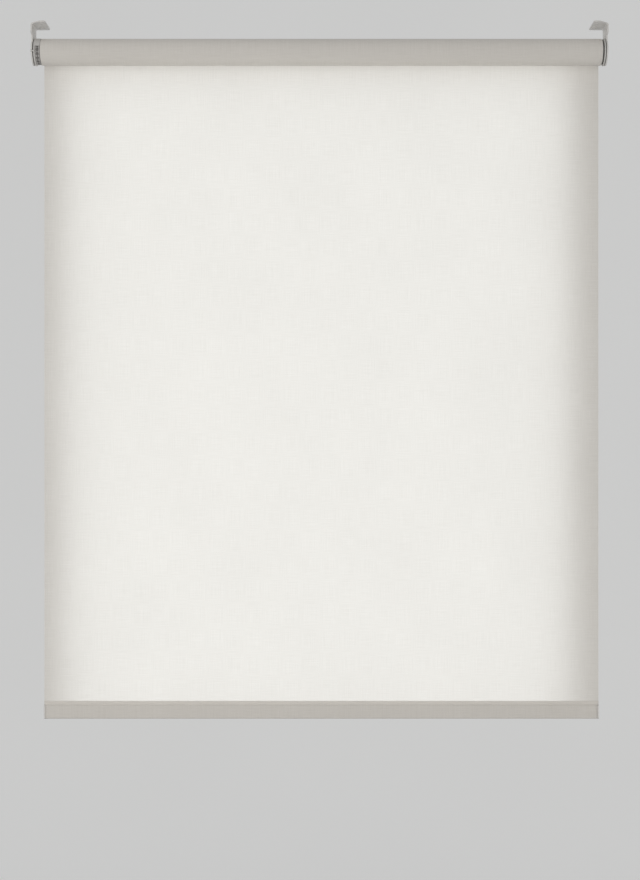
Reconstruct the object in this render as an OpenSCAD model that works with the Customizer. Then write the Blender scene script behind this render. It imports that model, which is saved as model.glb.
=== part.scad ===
// Ceiling-fixed roller blind: chain-wheel control on the left, sprung idle end on the right,
// fabric falling from the back of the roll, and a bar in a welded hem pocket.
// The origin lies on the ceiling plane, at the middle of the four main fixing holes.
// +X runs towards the idle end, +Y towards the window and +Z up.

/* [Blind] */
// Width over the two brackets
blind_w = 890; // [400:10:1800]
// Ceiling to the bottom of the hem
drop = 1080; // [300:10:2000]

/* [Brackets] */
// Sheet thickness of both brackets
plate_t = 2; // [1.5:0.5:2]
// Depth of the ceiling flange, room side to window side
bracket_d = 50; // [46:1:60]
// Width of the ceiling flange
flange_w = 24; // [22:1:30]
// Ceiling to the roller axis
axis_drop = 40.7; // [38:0.1:50]
// Roller axis behind the middle of the flange
axis_y = 8.5; // [4:0.5:10]
// Radius of the round lower end of each bracket
lobe_r = 20.6; // [18:0.1:20.8]
// Diameter of the screw holes
hole_d = 4.2; // [3.5:0.1:4.5]

/* [Roller] */
// Outside diameter of the aluminium tube
tube_d = 38; // [38:0.5:39]
// Wall of the aluminium tube
tube_wall = 1.2; // [1:0.1:1.4]
// Thickness of the fabric
fabric_t = 0.4; // [0.3:0.05:0.5]
// Layers of fabric left on the tube when the blind is down
wraps = 3.5; // [1.5:0.1:3.5]

/* [Chain wheel] */
// Pockets round the wheel
pockets = 18; // [16:1:18]
// Distance between the balls of the operating chain
ball_pitch = 6; // [5.8:0.1:6]
// Width of the wheel
wheel_w = 6.5; // [6.3:0.1:7]
// Radius of the cover disc beside the wheel
guard_r = 21; // [20.8:0.1:22]

/* [Hem] */
// Height of the flat weld above the pocket
seam_h = 5.5; // [3:0.5:10]
// Height of the bar pocket
pocket_h = 22.6; // [22.6:0.2:30]
// Thickness of the hem bar
bar_t = 4.6; // [4.2:0.1:6]
// Thickness of the end caps
cap_t = 2; // [1.5:0.5:3]

/* [Hidden] */
$fn = 96;

// Finish colours
metal_paint = "#dcd8d2";
white_plastic = "#e6e3dd";
grey_plastic = "#8f8b87";
cloth = "#d9d5cc";
steel = "#b8bcc0";
bare_aluminium = "#c9ccce";

eps = 0.01;
left_x = -blind_w / 2;
right_x = blind_w / 2;
axis_z = -axis_drop;

// Control side, from the outer face of the bracket inwards
boss_t = 1.4;
guard_t = 2.7;
wheel_gap = 0.2;
collar_gap = 0.3;
collar_t = 0.8;
guard_x = left_x + plate_t + boss_t;
wheel_x = guard_x + guard_t + wheel_gap;
wheel_end_x = wheel_x + wheel_w;
collar_left_x = wheel_end_x + collar_gap;
fabric_left_x = collar_left_x + collar_t;

// Idle side, from the outer face of the bracket inwards
cover_gap = 1.1;
cover_t = 2.3;
roll_gap = 2.7;
cover_x = right_x - plate_t - cover_gap - cover_t;
fabric_right_x = cover_x - roll_gap;
fabric_w = fabric_right_x - fabric_left_x;

// Roller
tube_r = tube_d / 2;
bore_r = tube_r - tube_wall;
roll_r = tube_r + wraps * fabric_t;
key_w = 2;
key_h = 2;
groove_w = 2.6;
groove_d = 2.2;
groove_wall = 1;
rib_r = bore_r - 0.2;
rib_w = 2;
rib_angles = [7.5, -7.5, 172.5, 187.5, 55, 125, 225, 270, 315];

// Fixing holes: three in each flange and one in each plate
hole_inset = 16;
hole_spread = 24;
spare_inset = 9;
hole_ring_t = 1.6;
hole_ring_h = 0.5;
side_hole_y = -9.5;
side_hole_z = -8;

// Bracket outline: the flange slants forward from the plate's front edge
bend_r = 4;
flange_r = 4;
slant_x = 16;
head_front = -14.5;
head_back = bracket_d / 2;
head_h = 14;
neck_z = -18;
neck_front = axis_y - 16;
neck_back = head_back;

// Control hub, along the axis
key_y = 12;
key_z = 8;
key_clear = 0.1;
boss_r = 12;
spigot_r = 8;
seat_r = 7;
shaft_r = 5.5;
tip_r = 4;
run_clear = 0.05;
spring_wire = 1;
spring_turns = 10;
spring_pitch = 0.96;
spring_len = spring_wire + (spring_turns - 1) * spring_pitch;
spring_gap = 0.6;
spring_outer_x = wheel_end_x + 1.6;
spring_inner_x = spring_outer_x + spring_len + spring_gap;
shaft_end_x = spring_inner_x + spring_len + 1.4;
hub_end_x = shaft_end_x + 6;
pilot_r = 1.4;
pilot_len = 14;

// Chain wheel
pitch_r = ball_pitch / (2 * sin(180 / pockets));
wheel_r = guard_r - 1.7;
pocket_r = 2.4;
link_w = 1.4;
link_r = 16.2;
finger_in_r = 6.9;
finger_out_r = 8.4;
finger_arc = 120;
rib_arc = 200;

// Guard shroud: it covers the top of the wheel down to these angles above the axis
shroud_r = guard_r - 0.3;
shroud_t = 1.1;
shroud_low = 16;
shroud_gap = 0.4;
shroud_l = fabric_left_x - shroud_gap - guard_x - guard_t;

// Drive sleeve and idle plug
sleeve_out_r = 13.5;
sleeve_in_r = 8.6;
plug_core_r = 11;
collar_right_t = 1;
plug_end_x = fabric_right_x + collar_right_t;
plug_len = 34;
bush_r = 7;
bush_len = 13;
bush_x = plug_end_x - bush_len;
bush_lip_r = 8.5;
bush_lip_t = 0.8;
pin_r = 3;
pin_collar_r = 5.2;
pin_collar_t = 2;
pin_tail_r = 2;
pin_tail_l = 6;
pin_proud = 0.4;
pin_tip_x = right_x - pin_proud;
pin_collar_x = bush_x - 0.2 - pin_collar_t;
coil_turns = 6;
coil_wire = 1;
coil_r = 4.2;
plug_floor_t = 2;
plug_floor_x = plug_end_x - plug_len;
coil_x = plug_floor_x + plug_floor_t + 0.1;
coil_len = pin_collar_x - 0.1 - coil_x;

// Fabric and hem, in the vertical plane at the back of the roll
panel_y = axis_y + roll_r - fabric_t;
panel_top_z = axis_z - 6;
hem_bottom_z = -drop;
hem_top_z = hem_bottom_z + seam_h + pocket_h;
hem_y = panel_y + fabric_t / 2;
pocket_wall = 0.45;
cap_lip = 0.4;
pocket_t = bar_t + 2 * pocket_wall;
bar_h = pocket_h - 2 * cap_lip - 2 * pocket_wall;
bar_wall = 0.9;
tongue_len = 14;
tongue_clear = 0.1;
cap_over = 0.5;

// Local X runs towards the window, local Y up and local Z along the roller axis
module on_axis(x) {
    translate([x, axis_y, axis_z]) rotate([90, 0, 90]) children();
}

// The same directions, with the origin at the ceiling
module from_ceiling(x) {
    translate([x, 0, 0]) rotate([90, 0, 90]) children();
}

module ring(outer_r, inner_r, len) {
    difference() {
        cylinder(r = outer_r, h = len);
        translate([0, 0, -1]) cylinder(r = inner_r, h = len + 2);
    }
}

// Part of a ring, from one angle round to another
module arc_ring(outer_r, inner_r, len, from_a, arc) {
    rotate([0, 0, from_a]) rotate_extrude(angle = arc) translate([inner_r, 0]) square([outer_r - inner_r, len]);
}

// A disc with a rounded rim, a shallow ring pressed into its face and a round hole
module rimmed_disc(r, t, hole_r, dish_in, dish_out, dish_depth) {
    edge = t / 2;
    rotate_extrude() difference() {
        union() {
            translate([hole_r, 0]) square([r - edge - hole_r, t]);
            translate([r - edge, edge]) circle(r = edge);
        }
        translate([dish_in, -eps]) square([dish_out - dish_in, dish_depth + eps]);
    }
}

// An upright outline with full-round ends, centred on the origin
module stadium(w, h) {
    square([w, h - w], center = true);
    for (side = [-1, 1]) translate([0, side * (h - w) / 2]) circle(d = w);
}

// Coil of round wire wound along Z, with its first turn at the origin plane
module wire_coil(mean_r, wire_d, len, turns) {
    steps = 18;
    sides = 8;
    rings = turns * steps;
    rise = (len - wire_d) / rings;
    points = [
        for (i = [0 : rings]) for (k = [0 : sides - 1])
            let (a = i * 360 / steps, b = k * 360 / sides, r = mean_r + wire_d / 2 * cos(b))
            [r * cos(a), r * sin(a), wire_d / 2 + i * rise + wire_d / 2 * sin(b)]
    ];
    walls = [
        for (i = [0 : rings - 1]) for (k = [0 : sides - 1])
            let (n = (k + 1) % sides)
            [i * sides + k, i * sides + n, (i + 1) * sides + n, (i + 1) * sides + k]
    ];
    first_cap = [for (k = [sides - 1 : -1 : 0]) k];
    last_cap = [for (k = [0 : sides - 1]) rings * sides + k];
    polyhedron(points = points, faces = concat([first_cap], walls, [last_cap]), convexity = 10);
}

// Close-wound wrap spring with its two tangs turned outwards
module wrap_spring() {
    mean_r = shaft_r + run_clear + spring_wire / 2;
    for (i = [0 : spring_turns - 1])
        translate([0, 0, spring_wire / 2 + i * spring_pitch])
            rotate_extrude() translate([mean_r, 0]) circle(d = spring_wire, $fn = 24);
    tang_l = finger_out_r - 0.4 - mean_r;
    tang_z = [spring_wire / 2, spring_len - spring_wire / 2];
    tang_a = [20, 160];
    for (i = [0, 1])
        translate([0, 0, tang_z[i]]) rotate([0, 0, tang_a[i]]) translate([mean_r, 0, 0])
            rotate([0, 90, 0]) cylinder(d = spring_wire, h = tang_l, $fn = 24);
}

// Ribs of a tube plug, which drive the tube's keys
module core_ribs(core_r, from_z, to_z) {
    for (a = rib_angles) rotate([0, 0, a]) translate([core_r - 1, -rib_w / 2, from_z])
        cube([rib_r - core_r + 1, rib_w, to_z - from_z]);
}

module plate_outline() {
    translate([head_front, -head_h]) square([head_back - head_front, head_h - bend_r]);
    polygon([[head_front, -head_h], [head_back, -head_h], [neck_back, neck_z], [neck_front, neck_z]]);
    translate([neck_front, axis_z]) square([neck_back - neck_front, neck_z - axis_z]);
    translate([axis_y, axis_z]) circle(r = lobe_r);
}

module flange_outline() {
    front = -bracket_d / 2;
    round_x = flange_w - flange_r;
    polygon([
        [bend_r, head_front], [slant_x, front], [round_x, front], [flange_w, front + flange_r],
        [flange_w, head_back - flange_r], [round_x, head_back], [bend_r, head_back]
    ]);
    for (y = [front + flange_r, head_back - flange_r]) translate([round_x, y]) circle(r = flange_r);
}

// One bracket with its outer face at X = 0 and its flange running to +X
module bracket() {
    hole_rows = [-hole_spread / 2, hole_spread / 2];
    difference() {
        union() {
            from_ceiling(0) linear_extrude(plate_t) plate_outline();
            translate([0, 0, -plate_t]) linear_extrude(plate_t) flange_outline();
            translate([bend_r, head_back, -bend_r]) rotate([90, 0, 0]) linear_extrude(head_back - head_front)
                intersection() {
                    difference() {
                        circle(r = bend_r);
                        circle(r = bend_r - plate_t);
                    }
                    translate([-bend_r, 0]) square(bend_r);
                }
            // Raised rings that stiffen the flange round its main holes
            for (y = hole_rows) translate([hole_inset, y, -plate_t - hole_ring_h])
                cylinder(r = hole_d / 2 + hole_ring_t, h = hole_ring_h + plate_t / 2);
        }
        for (y = hole_rows) translate([hole_inset, y, -plate_t - 1]) cylinder(d = hole_d, h = plate_t + 2);
        translate([spare_inset, hole_spread / 2, -plate_t - 1]) cylinder(d = hole_d, h = plate_t + 2);
        from_ceiling(-1) translate([side_hole_y, side_hole_z]) cylinder(d = hole_d, h = plate_t + 2);
    }
}

module bracket_left() {
    color(metal_paint) difference() {
        translate([left_x, 0, 0]) bracket();
        on_axis(left_x - 1) translate([-key_y / 2, -key_z / 2, 0]) cube([key_y, key_z, plate_t + 2]);
    }
}

module bracket_right() {
    color(metal_paint) difference() {
        mirror([1, 0, 0]) translate([left_x, 0, 0]) bracket();
        on_axis(right_x - plate_t - 1) cylinder(r = pin_r + run_clear, h = plate_t + 2);
    }
}

// Fixed hub: its oblong tongue sits in the bracket, and the wheel and springs turn on it
module control_hub() {
    color(white_plastic) difference() {
        union() {
            on_axis(left_x + 0.2) translate([key_clear - key_y / 2, key_clear - key_z / 2, 0])
                cube([key_y - 2 * key_clear, key_z - 2 * key_clear, plate_t]);
            on_axis(left_x + plate_t) cylinder(r = boss_r, h = boss_t);
            on_axis(guard_x) cylinder(r = spigot_r, h = guard_t);
            on_axis(guard_x + guard_t) cylinder(r = seat_r, h = wheel_end_x - guard_x - guard_t);
            on_axis(wheel_end_x) cylinder(r = shaft_r, h = shaft_end_x - wheel_end_x);
            on_axis(shaft_end_x) cylinder(r = tip_r, h = hub_end_x - shaft_end_x);
        }
        on_axis(hub_end_x - pilot_len) cylinder(r = pilot_r, h = pilot_len + 1);
    }
}

// Cover disc with a shroud over the top of the wheel, open below where a chain would leave
module chain_guard() {
    nub_w = 2.4;
    nub_h = 4.6;
    nub_out = -lobe_r - 1.4;
    nub_drop = -2.6;
    arm_w = 1.4;
    arm_h = 2.6;
    arm_out = -guard_r - 0.7;
    arm_x = left_x + plate_t / 2;
    color(white_plastic) {
        on_axis(guard_x)
            rimmed_disc(guard_r, guard_t, spigot_r, boss_r + 1, guard_r - 3, 0.5);
        on_axis(guard_x + guard_t / 2)
            arc_ring(shroud_r, shroud_r - shroud_t, guard_t / 2 + shroud_l, shroud_low, 180 - 2 * shroud_low);
        // Snap nub in front of the bracket's edge, on an arm from the disc's rim
        on_axis(left_x + 0.1) translate([nub_out, nub_drop, 0]) linear_extrude(plate_t) stadium(nub_w, nub_h);
        on_axis(arm_x) translate([arm_out, nub_drop, 0])
            linear_extrude(guard_x + guard_t / 2 - arm_x) stadium(arm_w, arm_h);
        on_axis(guard_x + 0.3) translate([-guard_r + 0.8, nub_drop, 0])
            linear_extrude(guard_t - 0.6) stadium(nub_w, nub_h);
    }
}

module sprocket_wheel() {
    mid = wheel_w / 2;
    color(grey_plastic) {
        on_axis(wheel_x) difference() {
            cylinder(r = wheel_r, h = wheel_w);
            translate([0, 0, -1]) cylinder(r = seat_r + run_clear, h = wheel_w + 2);
            for (i = [0 : pockets - 1]) rotate([0, 0, i * 360 / pockets]) translate([pitch_r, 0, mid]) {
                sphere(r = pocket_r);
                rotate([0, 90, 0]) cylinder(r = pocket_r, h = wheel_r);
            }
            translate([0, 0, mid - link_w / 2]) ring(wheel_r + 1, link_r, link_w);
        }
        // Finger that reaches between the tangs of the wrap springs
        on_axis(wheel_end_x - 1)
            arc_ring(finger_out_r, seat_r + run_clear, 2.2, 90 - finger_arc / 2, finger_arc);
        on_axis(wheel_end_x)
            arc_ring(finger_out_r, finger_in_r, shaft_end_x - wheel_end_x - 1, 90 - finger_arc / 2, finger_arc);
    }
}

module clutch_spring_outer() {
    color(steel) on_axis(spring_outer_x) wrap_spring();
}

module clutch_spring_inner() {
    color(steel) on_axis(spring_inner_x) wrap_spring();
}

// Output sleeve: the spring tangs push its inside rib, and its outside ribs turn the tube
module drive_sleeve() {
    len = hub_end_x - collar_left_x - 0.4;
    floor_z = shaft_end_x - collar_left_x + 0.4;
    hole_r = tip_r + run_clear;
    color(grey_plastic) on_axis(collar_left_x) {
        rotate_extrude() polygon([
            [sleeve_in_r, 0], [tube_r, 0], [tube_r, collar_t], [sleeve_out_r, collar_t],
            [sleeve_out_r, len], [hole_r, len], [hole_r, floor_z], [sleeve_in_r, floor_z]
        ]);
        core_ribs(sleeve_out_r, collar_t / 2, len - 1);
        translate([0, 0, 0.5])
            arc_ring(sleeve_in_r + 2, finger_in_r, floor_z, 270 - rib_arc / 2, rib_arc);
    }
}

module hub_washer() {
    color(steel) on_axis(hub_end_x) ring(8, pilot_r + 0.3, 0.8);
}

module hub_screw() {
    head_x = hub_end_x + 0.8;
    slot_w = 0.9;
    color(steel) difference() {
        union() {
            on_axis(hub_end_x - pilot_len + 1) cylinder(r = pilot_r, h = head_x - hub_end_x + pilot_len - 1);
            on_axis(head_x) cylinder(r = 3.6, h = 2);
        }
        on_axis(head_x + 1) for (a = [0, 90]) rotate([0, 0, a]) translate([-2.2, -slot_w / 2, 0])
            cube([4.4, slot_w, 2]);
    }
}

// Tube section: two inside keys for the plugs, and an outside groove for the fabric's spline
module roller_tube() {
    color(bare_aluminium) on_axis(fabric_left_x) linear_extrude(fabric_w) difference() {
        union() {
            difference() {
                circle(r = tube_r);
                circle(r = bore_r);
            }
            for (side = [0, 180]) rotate(side) translate([bore_r - key_h, -key_w / 2])
                square([key_h + tube_wall / 2, key_w]);
            intersection() {
                circle(r = tube_r);
                translate([-groove_w / 2 - groove_wall, tube_r - groove_d - groove_wall])
                    square([groove_w + 2 * groove_wall, groove_d + groove_wall]);
            }
        }
        translate([-groove_w / 2, tube_r - groove_d]) square([groove_w, groove_d + 1]);
    }
}

module fabric_spline() {
    color(white_plastic) on_axis(fabric_left_x) linear_extrude(fabric_w)
        translate([-groove_w / 2 + 0.1, tube_r - groove_d]) square([groove_w - 0.2, groove_d - 0.3]);
}

// The turns of fabric that stay on the tube when the blind is down
module fabric_roll() {
    color(cloth) on_axis(fabric_left_x) ring(roll_r, tube_r, fabric_w);
}

// The hanging fabric, from just under the roll to the top of the hem
module fabric_panel() {
    color(cloth) translate([fabric_left_x, panel_y, hem_top_z])
        cube([fabric_w, fabric_t, panel_top_z - hem_top_z]);
}

module idle_plug() {
    collar_z = fabric_right_x - plug_floor_x;
    lip_z = plug_len - bush_lip_t;
    color(grey_plastic) on_axis(plug_floor_x) {
        rotate_extrude() polygon([
            [0, 0], [plug_core_r, 0], [plug_core_r, collar_z], [tube_r, collar_z],
            [tube_r, plug_len], [bush_lip_r, plug_len], [bush_lip_r, lip_z], [bush_r, lip_z],
            [bush_r, plug_floor_t], [0, plug_floor_t]
        ]);
        core_ribs(plug_core_r, 1, collar_z + collar_right_t / 2);
    }
}

// Bearing bush in the plug, which turns on the fixed pin
module idle_bush() {
    color(grey_plastic) {
        on_axis(bush_x) ring(bush_r, pin_r + run_clear, bush_len);
        on_axis(plug_end_x - bush_lip_t) ring(bush_lip_r, pin_r + run_clear, bush_lip_t);
    }
}

// Sprung pin: it is pressed into the plug to free the roller from the bracket
module idle_pin() {
    nose_l = 1;
    color(steel) {
        on_axis(pin_collar_x - pin_tail_l) cylinder(r = pin_tail_r, h = pin_tail_l);
        on_axis(pin_collar_x) cylinder(r = pin_collar_r, h = pin_collar_t);
        on_axis(pin_collar_x) cylinder(r = pin_r, h = pin_tip_x - nose_l - pin_collar_x);
        on_axis(pin_tip_x - nose_l) cylinder(r1 = pin_r, r2 = pin_r - 0.7, h = nose_l);
    }
}

module idle_spring() {
    color(steel) on_axis(coil_x) wire_coil(coil_r, coil_wire, coil_len, coil_turns);
}

// Cover disc on the idle bracket, with three feet that space it off the plate
module idle_cover() {
    foot_r = 12;
    color(white_plastic) {
        on_axis(cover_x) difference() {
            rimmed_disc(guard_r, cover_t, pin_r + 0.6, foot_r - 5, foot_r + 5, 0.3);
        }
        for (a = [30, 150, 270]) on_axis(cover_x + cover_t - 0.2) rotate([0, 0, a])
            translate([foot_r, 0, 0]) cylinder(r = 2.5, h = cover_gap + 0.2);
    }
}

// Fabric folded round the bar and welded flat above it
module hem_pocket() {
    pocket_len = fabric_w - 2 * (cap_t - cap_over);
    mid_z = hem_bottom_z + pocket_h / 2;
    sleeve_h = pocket_h - 2 * cap_lip;
    color(cloth) {
        translate([fabric_left_x + cap_t - cap_over, hem_y, mid_z]) rotate([90, 0, 90])
            linear_extrude(pocket_len) difference() {
                stadium(pocket_t, sleeve_h);
                stadium(bar_t, bar_h);
            }
        translate([fabric_left_x, hem_y - fabric_t, hem_bottom_z + pocket_h])
            cube([fabric_w, 2 * fabric_t, seam_h]);
        translate([fabric_left_x + cap_t - cap_over, hem_y - fabric_t, hem_bottom_z + pocket_h - cap_lip - 0.2])
            cube([pocket_len, 2 * fabric_t, cap_lip + 0.4]);
    }
}

module hem_bar() {
    bar_len = fabric_w - 2 * (cap_t - cap_over);
    mid_z = hem_bottom_z + pocket_h / 2;
    color(bare_aluminium) translate([fabric_left_x + cap_t - cap_over, hem_y, mid_z]) rotate([90, 0, 90])
        linear_extrude(bar_len) difference() {
            stadium(bar_t, bar_h);
            stadium(bar_t - 2 * bar_wall, bar_h - 2 * bar_wall);
        }
}

// End cap with its outer face at X = 0 and its tongue running to +X into the bar
module hem_cap() {
    chamfer = 0.4;
    tongue_w = bar_t - 2 * bar_wall - 2 * tongue_clear;
    tongue_h = bar_h - 2 * bar_wall - 2 * tongue_clear;
    rotate([90, 0, 90]) {
        linear_extrude(chamfer) stadium(pocket_t - chamfer, pocket_h - chamfer);
        translate([0, 0, chamfer]) linear_extrude(cap_t - chamfer) stadium(pocket_t + 0.4, pocket_h);
        translate([0, 0, cap_t]) linear_extrude(tongue_len) stadium(tongue_w, tongue_h);
    }
}

module hem_cap_left() {
    color(white_plastic) translate([fabric_left_x - cap_over, hem_y, hem_bottom_z + pocket_h / 2]) hem_cap();
}

module hem_cap_right() {
    color(white_plastic) translate([fabric_right_x + cap_over, hem_y, hem_bottom_z + pocket_h / 2])
        mirror([1, 0, 0]) hem_cap();
}

bracket_left();
bracket_right();
control_hub();
chain_guard();
sprocket_wheel();
clutch_spring_outer();
clutch_spring_inner();
drive_sleeve();
hub_washer();
hub_screw();
roller_tube();
fabric_spline();
fabric_roll();
fabric_panel();
idle_plug();
idle_bush();
idle_pin();
idle_spring();
idle_cover();
hem_pocket();
hem_bar();
hem_cap_left();
hem_cap_right();
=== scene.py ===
import math

import bmesh
import bpy
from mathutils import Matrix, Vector, noise


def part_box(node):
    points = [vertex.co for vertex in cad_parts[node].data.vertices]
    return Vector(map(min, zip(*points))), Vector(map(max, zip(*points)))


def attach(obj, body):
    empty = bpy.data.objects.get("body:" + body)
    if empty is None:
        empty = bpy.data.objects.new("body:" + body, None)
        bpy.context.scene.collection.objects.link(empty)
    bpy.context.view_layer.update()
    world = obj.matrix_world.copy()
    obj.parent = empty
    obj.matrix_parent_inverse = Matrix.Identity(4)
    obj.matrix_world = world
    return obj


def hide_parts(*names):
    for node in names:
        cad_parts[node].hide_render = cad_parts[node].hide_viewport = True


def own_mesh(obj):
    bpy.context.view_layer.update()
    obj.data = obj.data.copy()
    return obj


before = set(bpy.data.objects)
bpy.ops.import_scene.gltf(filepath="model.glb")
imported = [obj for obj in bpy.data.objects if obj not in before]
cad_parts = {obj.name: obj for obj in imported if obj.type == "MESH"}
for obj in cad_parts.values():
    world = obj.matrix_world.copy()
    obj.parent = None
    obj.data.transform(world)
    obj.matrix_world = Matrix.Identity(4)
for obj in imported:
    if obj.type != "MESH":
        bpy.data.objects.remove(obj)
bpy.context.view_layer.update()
MM = 0.001

# ---- places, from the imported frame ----
ROLL_LO, ROLL_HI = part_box("fabric_roll")
PANEL_LO, PANEL_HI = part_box("fabric_panel")
POCKET_LO, POCKET_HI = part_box("hem_pocket")
TUBE_LO, TUBE_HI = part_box("roller_tube")
BAR_LO, BAR_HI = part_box("hem_bar")
COIL_LO, COIL_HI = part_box("idle_spring")
LEFT, RIGHT = ROLL_LO.x, ROLL_HI.x
AXIS = (ROLL_LO + ROLL_HI) / 2
ROLL_R = (ROLL_HI.z - ROLL_LO.z) / 2
TUBE_R = (TUBE_HI.y - TUBE_LO.y) / 2
PANEL_Y = (PANEL_LO.y + PANEL_HI.y) / 2
HEM_TOP = POCKET_HI.z
HEM_Y = (POCKET_LO.y + POCKET_HI.y) / 2
MIDDLE = (0, 0, (AXIS.z + HEM_TOP) / 2)

# ---- hanging cloth ----
CLOTH_T = PANEL_HI.y - PANEL_LO.y
YARN = 0.55 * MM
PANEL_COLUMNS, PANEL_ROWS = 140, 170
WRAP_ANGLE = math.radians(8)
WRAP_STEPS = 4
SLOW_WAVE, STREAK_WAVE = 0.7 * MM, 0.22 * MM
EDGE_CUP, EDGE_BAND = 0.8 * MM, 14 * MM

# ---- cloth on the roll ----
ROLL_COLUMNS, ROLL_SIDES = 90, 96
ROLL_EDGE = 0.25 * MM
TURN_CROWN = 0.16 * MM
TURN_GROOVE = 0.02 * MM
RING_STEP = 0.015 * MM

# ---- hem ----
HEM_COLUMNS = 220
UNDER_STEPS = 12
SEAM_H = 5.5 * MM
SEAM_PRESS = 0.16 * MM
PUCKER, PUFF = 0.12 * MM, 0.10 * MM
END_PLAY = 0.05 * MM

# ---- idle spring ----
COIL_WIRE = 1.0 * MM
COIL_TURNS = 6
COIL_STEPS = 28
COIL_SIDES = 10
COIL_CLOSE = 0.5

# ---- camera ----
CAMERA_PLACE = (0.0007, -2.4125, -0.643)
CAMERA_LENS, CAMERA_SENSOR = 63.74, 36

# ---- studio: a round floor and wall, in metres ----
FLOOR_Z, WALL_TOP = -2.4, 4.2
WALL_R, WALL_BEND = 5.2, 1.4
WALL_SIDES, BEND_STEPS = 64, 12
STUDIO_GLOW = 0.31

# ---- lights: place, target, width, height, watts, colour ----
LIGHTS = {
    "key": ((1.7, -3.4, -0.5), MIDDLE, 2.2, 2.2, 22, (1.0, 0.985, 0.96)),
    "fill": ((-1.6, -1.8, -0.2), MIDDLE, 1.6, 1.6, 12.5, (1.0, 0.985, 0.965)),
    "under": ((0, -1.3, -1.58), (0, 0, AXIS.z), 1.6, 1.0, 3.1, (1.0, 0.99, 0.975)),
    "top": ((0, 0.6, 2.2), MIDDLE, 2.4, 2.4, 4.5, (1, 1, 1)),
}
WORLD_COLOUR, WORLD_POWER = (0.98, 0.99, 1.0, 1), 0.35

# ---- daylight through the cloth, in watts for each square metre of window ----
DAY_POWER = 3.5
DAY_COLOUR = (0.875, 0.942, 1.0)
DAY_BEHIND = 42 * MM
DAY_INSET_LEFT, DAY_INSET_RIGHT = 27 * MM, 42 * MM
DAY_BELOW_HEM, DAY_BELOW_AXIS = 60 * MM, 14 * MM

# ---- cloth finish: linear colours, and repeats in each metre across and along the cloth ----
CLOTH_COLOUR = (0.80, 0.765, 0.715)
DARK_YARN, LIGHT_YARN = (0.945, 0.94, 0.93), 1.03
WARP_SLUBS, WEFT_SLUBS, CLOUDS = (1400, 26, 1), (34, 1250, 1), (9, 7, 1)
PANEL_GLOW, ROLL_GLOW, HEM_GLOW = 0.5, 0.0, 0.15
# painted light and shade: the roll's copy of the cloth is darkened and the hem's copy lightened, for how
# light falls on them
ROLL_PAINTED_SHADE, HEM_PAINTED_LIGHT = 0.97, 1.07

# ---- powder coat, as linear colours ----
POWDER_COLOUR = (0.76, 0.74, 0.71)
RUBBED_POWDER = (0.80, 0.79, 0.77, 1)

# ---- plastics: name, linear colour, grain, roughness ----
PLASTIC_EDGE = 0.25 * MM
PLASTICS = {
    "white": ("white_plastic", (0.60, 0.585, 0.56), 2200, 0.44),
    "cap": ("cap_plastic", (0.77, 0.75, 0.72), 2000, 0.46),
    "grey": ("grey_plastic", (0.41, 0.397, 0.382), 1900, 0.55),
}

# ---- which finish each CAD node has ----
NODE_FINISH = {
    "bracket_left": "powder",
    "bracket_right": "powder",
    "control_hub": "white",
    "chain_guard": "white",
    "idle_cover": "white",
    "hem_cap_left": "cap",
    "hem_cap_right": "cap",
    "fabric_spline": "white",
    "sprocket_wheel": "grey",
    "drive_sleeve": "grey",
    "idle_plug": "grey",
    "idle_bush": "grey",
    "clutch_spring_outer": "steel",
    "clutch_spring_inner": "steel",
    "hub_washer": "steel",
    "hub_screw": "steel",
    "idle_pin": "steel",
    "roller_tube": "aluminium",
    "hem_bar": "aluminium",
}


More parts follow.
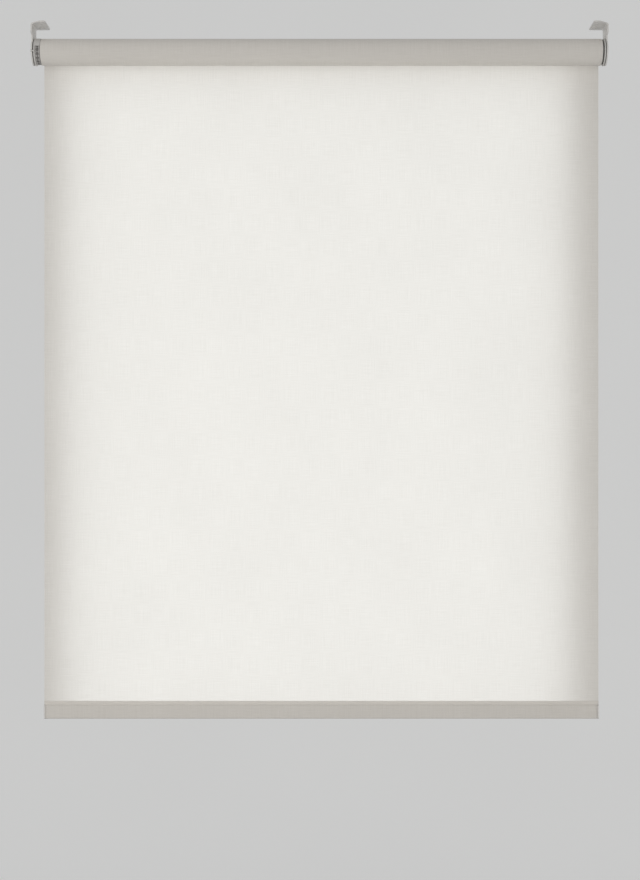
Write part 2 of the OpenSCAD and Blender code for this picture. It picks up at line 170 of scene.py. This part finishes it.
# ---------------------------------------------------------------- node helpers
class Graph:
    """Short names for building one material's nodes."""

    def __init__(self, name):
        self.material = bpy.data.materials.new(name)
        self.material.use_nodes = True
        self.tree = self.material.node_tree
        self.tree.nodes.clear()

    def node(self, kind, **settings):
        made = self.tree.nodes.new(kind)
        for key, value in settings.items():
            setattr(made, key, value)
        return made

    def put(self, socket, value):
        if isinstance(value, bpy.types.NodeSocket):
            self.tree.links.new(value, socket)
        else:
            socket.default_value = value

    def sum(self, operation, a, b=0.0, c=0.0):
        made = self.node("ShaderNodeMath", operation=operation)
        for socket, value in zip(made.inputs, (a, b, c)):
            self.put(socket, value)
        return made.outputs[0]

    def scaled(self, vector, scale):
        made = self.node("ShaderNodeVectorMath", operation="MULTIPLY")
        self.put(made.inputs[0], vector)
        made.inputs[1].default_value = scale
        return made.outputs[0]

    def noise(self, vector, scale, detail, roughness):
        made = self.node("ShaderNodeTexNoise")
        self.put(made.inputs["Vector"], vector)
        made.inputs["Scale"].default_value = scale
        made.inputs["Detail"].default_value = detail
        made.inputs["Roughness"].default_value = roughness
        return made.outputs["Fac"]

    def between(self, value, low, high, to_low, to_high):
        made = self.node("ShaderNodeMapRange")
        for socket, v in zip(made.inputs, (value, low, high, to_low, to_high)):
            self.put(socket, v)
        return made.outputs[0]

    def mix(self, share, a, b):
        made = self.node("ShaderNodeMix", data_type="RGBA")
        self.put(made.inputs[0], share)
        self.put(made.inputs[6], a)
        self.put(made.inputs[7], b)
        return made.outputs[2]

    def bump(self, height, distance, strength, under=None):
        made = self.node("ShaderNodeBump")
        made.inputs["Strength"].default_value = strength
        made.inputs["Distance"].default_value = distance
        self.put(made.inputs["Height"], height)
        if under is not None:
            self.put(made.inputs["Normal"], under)
        return made.outputs[0]

    def rounded(self, radius):
        made = self.node("ShaderNodeBevel", samples=6)
        made.inputs["Radius"].default_value = radius
        return made.outputs[0]

    def worn_edges(self, radius):
        """About 0 on flat faces and rising to 1 on the outside edges, for wear."""
        round_normal = self.rounded(radius)
        face = self.node("ShaderNodeNewGeometry").outputs["Normal"]
        dot = self.node("ShaderNodeVectorMath", operation="DOT_PRODUCT")
        self.put(dot.inputs[0], round_normal)
        self.put(dot.inputs[1], face)
        return self.between(dot.outputs["Value"], 0.995, 0.80, 0.0, 1.0)

    def here(self):
        return self.node("ShaderNodeTexCoord").outputs["Object"]

    def principled(self, **inputs):
        made = self.node("ShaderNodeBsdfPrincipled")
        for key, value in inputs.items():
            self.put(made.inputs[key.replace("_", " ")], value)
        return made

    def finish(self, shader):
        out = self.node("ShaderNodeOutputMaterial")
        self.tree.links.new(shader, out.inputs["Surface"])
        return self.material


def rgba(colour, factor=1.0):
    return tuple(c * factor for c in colour) + (1.0,)


# ---------------------------------------------------------------- materials
def weave_height(g, place):
    """Plain weave, one over and one under, from a place in metres across and along the cloth: 0 to 1."""
    split = g.node("ShaderNodeSeparateXYZ")
    g.put(split.inputs[0], place)
    across = g.sum("SINE", g.sum("MULTIPLY", split.outputs[0], math.pi / YARN))
    along = g.sum("SINE", g.sum("MULTIPLY", split.outputs[1], math.pi / YARN))
    width, length = g.sum("ABSOLUTE", across), g.sum("ABSOLUTE", along)
    warp = g.sum("MULTIPLY", width, g.sum("MULTIPLY_ADD", length, 0.4, 0.6))
    weft = g.sum("MULTIPLY", length, g.sum("MULTIPLY_ADD", width, 0.4, 0.6))
    over = g.sum("GREATER_THAN", g.sum("MULTIPLY", across, along), 0.0)
    under = g.sum("SUBTRACT", 1.0, over)
    return g.sum("ADD", g.sum("MULTIPLY", warp, over), g.sum("MULTIPLY", weft, under))


def cloth_material(name, see_through, painted_light_scale=1.0):
    """Light-filtering plain weave with thick and thin yarns both ways. see_through is the share of
    translucent shader, and the last argument scales the colour as painted light and shade, below 1 for
    painted shade and above 1 for painted light."""
    g = Graph(name)
    place = g.node("ShaderNodeUVMap", uv_map="weave").outputs[0]
    weave = weave_height(g, place)
    warp_slubs = g.noise(g.scaled(place, WARP_SLUBS), 1.0, 3.0, 0.6)
    weft_slubs = g.noise(g.scaled(place, WEFT_SLUBS), 1.0, 3.0, 0.6)
    cloudy = g.noise(g.scaled(place, CLOUDS), 1.0, 2.0, 0.5)
    slubs = g.sum("ADD", g.sum("MULTIPLY", warp_slubs, 0.5), g.sum("MULTIPLY", weft_slubs, 0.5))
    dark = rgba([c * f for c, f in zip(CLOTH_COLOUR, DARK_YARN)], painted_light_scale)
    light = rgba([min(c * LIGHT_YARN, 0.9) for c in CLOTH_COLOUR], painted_light_scale)
    yarn_colour = g.mix(g.between(slubs, 0.36, 0.64, 0.0, 1.0), dark, light)
    # painted shade: the colour is a little darker where the weave is low, between the yarns; the cloudy
    # share is random tone in the cloth
    painted_gap_shade = g.between(weave, 0.0, 0.35, 0.94, 1.0)
    shade = g.sum("MULTIPLY", painted_gap_shade, g.between(cloudy, 0.3, 0.7, 0.985, 1.01))
    grey = g.node("ShaderNodeCombineColor")
    for socket in grey.inputs:
        g.put(socket, shade)
    tinted = g.node("ShaderNodeMix", data_type="RGBA", blend_type="MULTIPLY")
    tinted.inputs[0].default_value = 1.0
    g.put(tinted.inputs[6], yarn_colour)
    g.put(tinted.inputs[7], grey.outputs[0])
    colour = tinted.outputs[2]
    slub_bump = g.bump(slubs, 0.10 * MM, 0.6)
    normal = g.bump(weave, 0.09 * MM, 0.7, under=slub_bump)
    front = g.principled(
        Base_Color=colour, Roughness=0.82, Normal=normal, Sheen_Weight=0.12, Sheen_Roughness=0.5,
        Specular_IOR_Level=0.25,
    )
    if not see_through:
        return g.finish(front.outputs[0])
    glow = g.node("ShaderNodeBsdfTranslucent")
    g.put(glow.inputs["Color"], colour)
    g.put(glow.inputs["Normal"], normal)
    both = g.node("ShaderNodeMixShader")
    both.inputs[0].default_value = see_through
    g.put(both.inputs[1], front.outputs[0])
    g.put(both.inputs[2], glow.outputs[0])
    return g.finish(both.outputs[0])


def powder_material():
    """Satin powder coat on pressed steel: fine orange peel, soft edges, slight rubbing on them."""
    g = Graph("powder_coat")
    here = g.here()
    peel = g.noise(here, 1500, 2.0, 0.5)
    pooled = g.noise(here, 90, 3.0, 0.55)
    patches = g.between(g.noise(here, 260, 4.0, 0.7), 0.42, 0.68, 0.15, 1.0)
    wear = g.sum("MULTIPLY", g.worn_edges(0.45 * MM), patches)
    coat = g.mix(g.between(pooled, 0.3, 0.7, 0.0, 1.0), rgba(POWDER_COLOUR, 0.94), rgba(POWDER_COLOUR, 1.04))
    colour = g.mix(g.sum("MULTIPLY", wear, 0.2), coat, RUBBED_POWDER)
    rough = g.sum("ADD", g.between(peel, 0.3, 0.7, 0.36, 0.48), g.sum("MULTIPLY", wear, -0.10))
    normal = g.bump(peel, 0.02 * MM, 0.5, under=g.rounded(0.3 * MM))
    shader = g.principled(Base_Color=colour, Roughness=rough, Normal=normal, Specular_IOR_Level=0.5)
    return g.finish(shader.outputs[0])


def plastic_material(name, colour, grain, rough):
    """Moulded plastic with a fine spark-eroded grain, flow marks and slightly polished edges."""
    g = Graph(name)
    here = g.here()
    fine = g.noise(here, grain, 2.0, 0.6)
    flow = g.noise(g.scaled(here, (35, 120, 120)), 1.0, 3.0, 0.55)
    wear = g.worn_edges(PLASTIC_EDGE * 1.6)
    body = g.mix(g.between(flow, 0.3, 0.7, 0.0, 1.0), rgba(colour, 0.92), rgba(colour, 1.05))
    speck = g.mix(g.between(fine, 0.35, 0.65, 0.0, 0.35), body, rgba(colour, 1.12))
    polished = rgba([min(c * 1.3 + 0.02, 0.9) for c in colour])
    shown = g.mix(g.sum("MULTIPLY", wear, 0.3), speck, polished)
    matt = g.between(fine, 0.3, 0.7, rough - 0.06, rough + 0.08)
    roughness = g.sum("ADD", matt, g.sum("MULTIPLY", wear, -0.12))
    normal = g.bump(fine, 0.015 * MM, 0.55, under=g.rounded(PLASTIC_EDGE))
    shader = g.principled(Base_Color=shown, Roughness=roughness, Normal=normal, Specular_IOR_Level=0.45)
    return g.finish(shader.outputs[0])


def steel_material():
    """Zinc-plated steel with faint drawing lines and cloudy plating."""
    g = Graph("zinc_steel")
    here = g.here()
    cloud = g.noise(here, 320, 3.0, 0.6)
    lines = g.noise(g.scaled(here, (400, 3200, 3200)), 1.0, 2.0, 0.5)
    colour = g.mix(cloud, (0.52, 0.53, 0.54, 1), (0.70, 0.71, 0.72, 1))
    rough = g.between(lines, 0.3, 0.7, 0.22, 0.40)
    normal = g.bump(lines, 0.008 * MM, 0.4, under=g.rounded(0.15 * MM))
    shader = g.principled(Base_Color=colour, Metallic=1.0, Roughness=rough, Normal=normal)
    return g.finish(shader.outputs[0])


def aluminium_material():
    """Mill-finish extrusion, with die lines along its length and a dull oxide."""
    g = Graph("mill_aluminium")
    here = g.here()
    die_lines = g.noise(g.scaled(here, (6, 2600, 2600)), 1.0, 3.0, 0.6)
    oxide = g.noise(g.scaled(here, (20, 60, 60)), 1.0, 3.0, 0.5)
    colour = g.mix(oxide, (0.60, 0.61, 0.62, 1), (0.76, 0.765, 0.77, 1))
    rough = g.between(die_lines, 0.3, 0.7, 0.28, 0.46)
    normal = g.bump(die_lines, 0.01 * MM, 0.5, under=g.rounded(0.15 * MM))
    shader = g.principled(Base_Color=colour, Metallic=1.0, Roughness=rough, Normal=normal)
    return g.finish(shader.outputs[0])


def studio_material():
    """Pale paper with a little light of its own, so that it stays even far from the lamps."""
    g = Graph("studio_paper")
    tone = g.between(g.noise(g.here(), 1.4, 2.0, 0.5), 0.3, 0.7, 0.0, 1.0)
    colour = g.mix(tone, (0.70, 0.70, 0.695, 1), (0.715, 0.715, 0.71, 1))
    shader = g.principled(
        Base_Color=colour, Roughness=0.95, Specular_IOR_Level=0.1, Emission_Color=(1, 1, 0.99, 1),
        Emission_Strength=STUDIO_GLOW,
    )
    return g.finish(shader.outputs[0])


# ---------------------------------------------------------------- meshes
def mesh_object(name, points, faces, places, material):
    """A smooth mesh with a place in metres for each corner of its faces, in the map called weave."""
    mesh = bpy.data.meshes.new(name)
    mesh.from_pydata(points, [], faces)
    mesh.validate()
    layer = mesh.uv_layers.new(name="weave")
    for loop, place in zip(layer.data, places):
        loop.uv = place
    mesh.polygons.foreach_set("use_smooth", [True] * len(mesh.polygons))
    mesh.materials.append(material)
    obj = bpy.data.objects.new(name, mesh)
    bpy.context.scene.collection.objects.link(obj)
    return obj


def swept_parts(rows, lengths, stations, closed_loop):
    """Points, faces and cloth places that join one row of section points to the next along X."""
    count = len(rows[0])
    points = [p for row in rows for p in row]
    spans = count if closed_loop else count - 1
    faces, places = [], []
    for i in range(len(rows) - 1):
        for k in range(spans):
            n = (k + 1) % count
            faces.append((i * count + k, (i + 1) * count + k, (i + 1) * count + n, i * count + n))
            near, far = lengths[k], lengths[k + 1]
            places += [(stations[i], near), (stations[i + 1], near)]
            places += [(stations[i + 1], far), (stations[i], far)]
    return points, faces, places


def spaced(low, high, count):
    """count numbers from low to high, evenly spaced."""
    return [low + (high - low) * i / (count - 1) for i in range(count)]


def distances(section, closed):
    """Distance round a section up to each of its points."""
    ring = list(section) + ([section[0]] if closed else [])
    out = [0.0]
    for a, b in zip(ring, ring[1:]):
        out.append(out[-1] + math.hypot(b[0] - a[0], b[1] - a[1]))
    return out


def panel_section():
    """The cloth's line from the hem up to the back of the roll, and a little way over it: (y, z)."""
    line = [(PANEL_Y, z) for z in spaced(HEM_TOP, AXIS.z, PANEL_ROWS)]
    radius = PANEL_Y - AXIS.y
    for step in range(1, WRAP_STEPS + 1):
        a = WRAP_ANGLE * step / WRAP_STEPS
        line.append((AXIS.y + radius * math.cos(a), AXIS.z + radius * math.sin(a)))
    return line


def panel_wave(x, z):
    """How far the hanging cloth stands off its plane: slow waves, and side edges that cup a little."""
    up = (z - HEM_TOP) / (AXIS.z - HEM_TOP)
    if up >= 1:
        return 0.0
    held = math.sin(math.pi * min(max(up, 0.0), 1.0)) ** 0.6
    slow = noise.noise(Vector((x * 3.1, z * 1.7, 4.2))) * SLOW_WAVE
    streak = noise.noise(Vector((x * 9.0, z * 0.8, 9.7))) * STREAK_WAVE
    edge = min(x - LEFT, RIGHT - x)
    cup = math.exp(-edge / EDGE_BAND) * EDGE_CUP
    return held * (slow + streak + cup)


def panel_cloth(material):
    """The hanging cloth, and its flat size."""
    section = panel_section()
    lengths = distances(section, False)
    stations = spaced(LEFT, RIGHT, PANEL_COLUMNS)
    rows = [[(x, y + panel_wave(x, z), z) for y, z in section] for x in stations]
    obj = mesh_object("panel_cloth", *swept_parts(rows, lengths, stations, False), material)
    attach(obj, "frame")
    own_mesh(obj)
    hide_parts("fabric_panel")
    return obj, (RIGHT - LEFT, lengths[-1])


def roll_profile(turn):
    """Half of the roll's outline at one angle, as (x, radius): over the edges of the turns, from the
    outside in to the tube. turn is how far round the spiral it is, from 0 to 1."""
    side = []
    layers = int((ROLL_R - TUBE_R) / CLOTH_T) + 1
    for layer in range(layers):
        outer = ROLL_R - CLOTH_T * (layer + turn) if layer else ROLL_R
        inner = ROLL_R - CLOTH_T * (layer + 1 + turn)
        side.append((TURN_CROWN, outer - TURN_GROOVE))
        side.append((0.0, (outer + inner) / 2))
        side.append((TURN_CROWN, inner + TURN_GROOVE))
    return [(x, max(r, TUBE_R + RING_STEP * (len(side) - j))) for j, (x, r) in enumerate(side)]


def roll_cloth(material):
    """The turns left on the tube. Their edges wind inwards as a spiral on both ends."""
    angles = [2 * math.pi * k / ROLL_SIDES for k in range(ROLL_SIDES)]
    ends = [roll_profile(k / ROLL_SIDES) for k in range(ROLL_SIDES)]
    depth = len(ends[0])
    stations = spaced(LEFT + ROLL_EDGE, RIGHT - ROLL_EDGE, ROLL_COLUMNS)
    rings = []
    for j in reversed(range(depth)):
        rings.append([(LEFT + ends[k][j][0], ends[k][j][1]) for k in range(ROLL_SIDES)])
    for x in stations:
        rings.append([(x, ROLL_R) for k in range(ROLL_SIDES)])
    for j in range(depth):
        rings.append([(RIGHT - ends[k][j][0], ends[k][j][1]) for k in range(ROLL_SIDES)])
    rows = [
        [(x, AXIS.y + r * math.cos(a), AXIS.z + r * math.sin(a)) for (x, r), a in zip(ring, angles)]
        for ring in rings
    ]
    along = [r[0][0] for r in rings]
    lengths = [ROLL_R * a for a in angles] + [ROLL_R * 2 * math.pi]
    points, faces, places = swept_parts(rows, lengths, along, True)
    last = len(points) - ROLL_SIDES
    for k in range(ROLL_SIDES):
        n = (k + 1) % ROLL_SIDES
        faces.append((last + k, k, n, last + n))
        near, far = lengths[k], lengths[k + 1]
        places += [(RIGHT, near), (LEFT, near), (LEFT, far), (RIGHT, far)]
    obj = mesh_object("roll_cloth", points, faces, places, material)
    tidy_normals(obj.data)
    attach(obj, "roller")
    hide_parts("fabric_roll")


def half_ellipse(z, w, h, steps):
    """Points of the lower half of an ellipse about (0, z), from its +y end to its -y end."""
    out = []
    for i in range(steps + 1):
        a = math.radians(-180 * i / steps)
        out.append((w * math.cos(a), z + h * math.sin(a)))
    return out


def pucker(x):
    """How far the weld draws the cloth in or out at x."""
    return noise.noise(Vector((x * 55, 1.3, 0))) * PUCKER


def band_side(x):
    """One face of the welded band from its top edge down, with two pressed lines: (y, z)."""
    flat = CLOTH_T * 0.98
    pressed = flat - SEAM_PRESS
    steps = [
        (flat, 0.0), (flat, 0.7), (pressed, 1.1), (pressed, 1.5), (flat, 1.9),
        (flat + pucker(x) * 0.3, 3.2), (pressed, 3.7), (pressed, 4.1), (flat, 4.6),
    ]
    side = [(y, HEM_TOP - down * MM) for y, down in steps]
    return side + [(flat + 0.05 * MM + pucker(x) * 0.5, HEM_TOP - SEAM_H)]


def pocket_side(x):
    """One side of the pocket, from the band down beside the bar to where it turns under: (y, z)."""
    half = (POCKET_HI.y - POCKET_LO.y) / 2
    low = POCKET_LO.z
    fold = HEM_TOP - SEAM_H
    puff = noise.noise(Vector((x * 7, 5.1, 0))) * PUFF
    return [
        (CLOTH_T + 0.6 * MM + pucker(x), fold - 0.55 * MM),
        (half - 0.38 * MM + pucker(x) * 0.5, fold - 1.7 * MM),
        (half - 0.09 * MM, fold - 2.4 * MM),
        (half - 0.01 * MM, fold - 3.2 * MM),
        (half - 0.02 * MM + puff * 0.2, fold - 6 * MM),
        (half - 0.03 * MM + puff * 0.2, fold - 11 * MM),
        (half, low + 4.5 * MM),
        (half - 0.01 * MM, low + 2.75 * MM),
    ]


def folded(x, side, low):
    """A closed line at x: down one side, round under at the height low, and up the other side."""
    side_y, turn_z = side[-1]
    under = half_ellipse(turn_z, side_y, turn_z - low, UNDER_STEPS)[1:-1]
    left = [(-y, z) for y, z in reversed(side)]
    return [(x, HEM_Y - y, z) for y, z in side + under + left]


def hem_section(x):
    """The folded hem's outline at x, band and pocket."""
    return folded(x, band_side(x) + pocket_side(x), POCKET_LO.z)


def hem_hollow(x):
    """The space in the pocket at x, one thickness of cloth in from its outline."""
    return folded(x, [(y - CLOTH_T, z) for y, z in pocket_side(x)], POCKET_LO.z + CLOTH_T)


def hem_end(points, first, count, lip, outer):
    """Adds the points that carry the band on to outer, and returns the faces of that end. first is the
    end row's first point, count is how many the row has, and lip is the hollow's row."""
    side = len(band_side(0.0))
    hole = len(lip)
    root = [first + k for k in range(side)] + [first + count - side + k for k in range(side)]
    rim = [first + side + k for k in range(hole)]
    tip = [len(points) + k for k in range(2 * side)]
    points += [(outer, points[k][1], points[k][2]) for k in root]
    faces = [(root[k], tip[k], tip[k + 1], root[k + 1]) for k in range(-1, len(tip) - 1)]
    faces.append(tuple(reversed(tip)))
    faces += [(rim[k], rim[k + 1], lip[k + 1], lip[k]) for k in range(hole - 1)]
    faces.append((root[side - 1], rim[0], lip[0]))
    faces.append((root[side], lip[-1], rim[-1]))
    faces.append((root[side - 1], lip[0], lip[-1], root[side]))
    return faces


def hem_cloth(material):
    """The hollow pocket round the bar, between the end caps, and the welded band above it, as wide as
    the blind."""
    stations = spaced(BAR_LO.x + END_PLAY, BAR_HI.x - END_PLAY, HEM_COLUMNS)
    points, faces, places = [], [], []
    starts, counts = [], []
    for section in (hem_section, hem_hollow):
        rows = [section(x) for x in stations]
        outline = [(p[1], p[2]) for p in rows[0]]
        more, skin, spots = swept_parts(rows, distances(outline, True), stations, True)
        starts.append(len(points))
        counts.append(len(rows[0]))
        faces += [tuple(starts[-1] + k for k in face) for face in skin]
        points += more
        places += spots
    count, hole = counts
    for row, outer in ((0, LEFT), (len(stations) - 1, RIGHT)):
        lip = [starts[1] + row * hole + k for k in range(hole)]
        for face in hem_end(points, row * count, count, lip, outer):
            faces.append(face)
            places += [(points[k][0] + points[k][1], points[k][2]) for k in face]
    obj = mesh_object("hem_cloth", points, faces, places, material)
    tidy_normals(obj.data)
    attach(obj, "hem")
    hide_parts("hem_pocket")
    return obj


def tidy_normals(mesh):
    """Turns every face of a closed mesh to point outwards."""
    edit = bmesh.new()
    edit.from_mesh(mesh)
    bmesh.ops.recalc_face_normals(edit, faces=edit.faces[:])
    edit.to_mesh(mesh)
    edit.free()


def idle_coil(material):
    """The pin's spring, with closer turns at its ends."""
    wire_r = COIL_WIRE / 2
    low, high = COIL_LO.x + wire_r, COIL_HI.x - wire_r
    mean_r = (COIL_HI.z - COIL_LO.z) / 2 - wire_r
    rings = COIL_TURNS * COIL_STEPS
    points, faces = [], []
    for i in range(rings + 1):
        share = i / rings
        x = low + (high - low) * (share - COIL_CLOSE * math.sin(2 * math.pi * share) / (2 * math.pi))
        turn = 2 * math.pi * COIL_TURNS * share
        for k in range(COIL_SIDES):
            b = 2 * math.pi * k / COIL_SIDES
            r = mean_r + wire_r * math.cos(b)
            y, z = AXIS.y + r * math.cos(turn), AXIS.z + r * math.sin(turn)
            points.append((x + wire_r * math.sin(b), y, z))
    for i in range(rings):
        for k in range(COIL_SIDES):
            a, b = i * COIL_SIDES + k, i * COIL_SIDES + (k + 1) % COIL_SIDES
            faces.append((a, b, b + COIL_SIDES, a + COIL_SIDES))
    faces.append(tuple(range(COIL_SIDES)))
    faces.append(tuple(rings * COIL_SIDES + k for k in range(COIL_SIDES)))
    obj = mesh_object("idle_coil", points, faces, [], material)
    tidy_normals(obj.data)
    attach(obj, "pin")
    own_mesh(obj)
    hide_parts("idle_spring")


# ---------------------------------------------------------------- stage
def camera():
    """A level one-point view of the whole blind."""
    data = bpy.data.cameras.new("camera")
    data.lens = CAMERA_LENS
    data.sensor_width = CAMERA_SENSOR
    data.clip_end = 50
    cam = bpy.data.objects.new("camera", data)
    bpy.context.scene.collection.objects.link(cam)
    cam.location = CAMERA_PLACE
    cam.rotation_euler = (math.pi / 2, 0, 0)
    bpy.context.scene.camera = cam


def studio(material):
    """A pale floor that curves up into a round wall, all round the object."""
    flat_r = WALL_R - WALL_BEND
    outline = [(0.0, FLOOR_Z), (flat_r, FLOOR_Z)]
    for step in range(1, BEND_STEPS + 1):
        a = math.pi / 2 * step / BEND_STEPS
        outline.append((flat_r + WALL_BEND * math.sin(a), FLOOR_Z + WALL_BEND * (1 - math.cos(a))))
    outline.append((WALL_R, WALL_TOP))
    points, faces = [], []
    for r, z in outline:
        for k in range(WALL_SIDES):
            a = 2 * math.pi * k / WALL_SIDES
            points.append((r * math.cos(a), r * math.sin(a), z))
    for i in range(len(outline) - 1):
        low, high = i * WALL_SIDES, (i + 1) * WALL_SIDES
        for k in range(WALL_SIDES):
            n = (k + 1) % WALL_SIDES
            faces.append((low + k, low + n, high + n, high + k))
    mesh = bpy.data.meshes.new("studio")
    mesh.from_pydata(points, [], faces)
    mesh.polygons.foreach_set("use_smooth", [True] * len(mesh.polygons))
    mesh.materials.append(material)
    obj = bpy.data.objects.new("studio", mesh)
    bpy.context.scene.collection.objects.link(obj)
    obj.visible_diffuse = False
    obj.visible_shadow = False


def area_light(name, place, target, width, height, energy, colour):
    data = bpy.data.lights.new(name, "AREA")
    data.shape = "RECTANGLE"
    data.size = width
    data.size_y = height
    data.energy = energy
    data.color = colour
    lamp = bpy.data.objects.new(name, data)
    bpy.context.scene.collection.objects.link(lamp)
    lamp.location = place
    lamp.rotation_euler = (Vector(target) - Vector(place)).to_track_quat("-Z", "Y").to_euler()
    lamp.visible_camera = False
    return lamp


def lights():
    """The studio's soft lamps, the daylight behind the cloth, and a dim sky all round."""
    for name, settings in LIGHTS.items():
        area_light(name, *settings)
    day_light()
    world = bpy.data.worlds.new("world")
    bpy.context.scene.world = world
    world.use_nodes = True
    back = world.node_tree.nodes["Background"]
    back.inputs[0].default_value = WORLD_COLOUR
    back.inputs[1].default_value = WORLD_POWER


def day_light():
    """Daylight behind the cloth. It stops short of the side edges, so they stay greyer than the middle."""
    low, high = HEM_TOP - DAY_BELOW_HEM, AXIS.z - DAY_BELOW_AXIS
    near, far = LEFT + DAY_INSET_LEFT, RIGHT - DAY_INSET_RIGHT
    width, height = far - near, high - low
    place = ((near + far) / 2, PANEL_Y + DAY_BEHIND, (low + high) / 2)
    target = (place[0], PANEL_Y, place[2])
    lamp = area_light("day", place, target, width, height, DAY_POWER * width * height, DAY_COLOUR)
    lamp.visible_glossy = False


def finishes():
    """Gives every CAD node its finish, on the object's own slots, and returns the finishes by name."""
    made = {
        "powder": powder_material(),
        **{key: plastic_material(*settings) for key, settings in PLASTICS.items()},
        "steel": steel_material(),
        "aluminium": aluminium_material(),
    }
    for name, finish in NODE_FINISH.items():
        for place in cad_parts[name].material_slots:
            place.link = "OBJECT"
            place.material = made[finish]
    return made


camera()
studio(studio_material())
lights()
made = finishes()
idle_coil(made["steel"])
single = cloth_material("blind_cloth", PANEL_GLOW)
# the roll's copy of the cloth, darkened as painted shade
stacked_painted_shade = cloth_material("stacked_cloth_painted_shade", ROLL_GLOW, ROLL_PAINTED_SHADE)
panel, panel_flat = panel_cloth(single)
roll_cloth(stacked_painted_shade)
# the hem's copy of the cloth, lightened as painted light
hem = hem_cloth(cloth_material("folded_cloth_painted_light", HEM_GLOW, HEM_PAINTED_LIGHT))
bpy.context.scene.view_settings.view_transform = "Standard"
